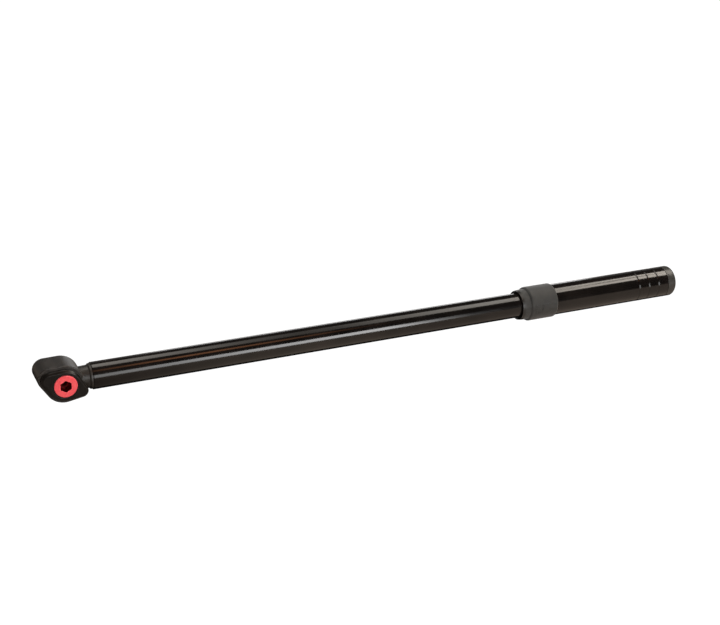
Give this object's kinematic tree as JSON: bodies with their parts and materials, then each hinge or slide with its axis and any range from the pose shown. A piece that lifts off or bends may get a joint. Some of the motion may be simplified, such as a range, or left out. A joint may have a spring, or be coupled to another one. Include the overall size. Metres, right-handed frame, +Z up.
{
  "type": "telescoping breaker bar",
  "caption": "Long straight breaker bar: eye-shaped head with a square drive and a red hex-socket bolt, gloss black tube, twist-lock collar and telescoping handle.",
  "frame": {"origin": "on the square drive's axis, at the shoulder that the square stands on", "axes": "+X along the bar from the head to the handle, +Y the way the square drive points, +Z up"},
  "size_m": [0.6002, 0.047, 0.0312],
  "materials": {
    "forged_steel": "black oxide, satin",
    "red_anodised": "bright red anodised, satin",
    "gloss_black": "gloss black powder coat",
    "tool_steel": "ground steel",
    "soft_grey": "matte dark grey moulding",
    "nylon": "natural dark nylon",
    "seal_rubber": "black rubber",
    "bare_aluminium": "turned aluminium"
  },
  "bodies": {
    "bar": {"head_forging": "forged_steel", "head_cover": "forged_steel", "cover_dowels": "tool_steel", "drive_anvil": "forged_steel", "detent_spring": "tool_steel", "drive_bolt": "red_anodised", "bolt_seal": "seal_rubber", "bar_tube": "gloss_black", "guide_piston": "nylon", "piston_pin": "tool_steel"},
    "ball": {"detent_ball": "tool_steel"},
    "handle": {"handle_sleeve": "gloss_black", "threaded_sleeve": "bare_aluminium", "collet": "nylon", "end_cap": "soft_grey", "cap_ring": "seal_rubber"},
    "collar": {"lock_collar": "soft_grey", "mouth_ring": "soft_grey", "wiper_seal": "seal_rubber", "collar_pad": "soft_grey", "collar_ribs": "soft_grey"}
  },
  "joints": [
    {"name": "handle_slide", "type": "slide", "parent": "bar", "child": "handle", "axis": [1, 0, 0], "range_m": [-0.095, 0]},
    {"name": "collar_twist", "type": "hinge", "parent": "handle", "child": "collar", "pos_m": [0.43, -0.0167, 0], "axis": [1, 0, 0], "range_deg": [0, 90]},
    {"name": "ball_press", "type": "slide", "parent": "bar", "child": "ball", "axis": [0, 0, 1], "range_m": [-0.0011, 0], "stiffness_N_per_m": 800, "springref_m": 0.001, "deforming": ["detent_spring"]}
  ]
}
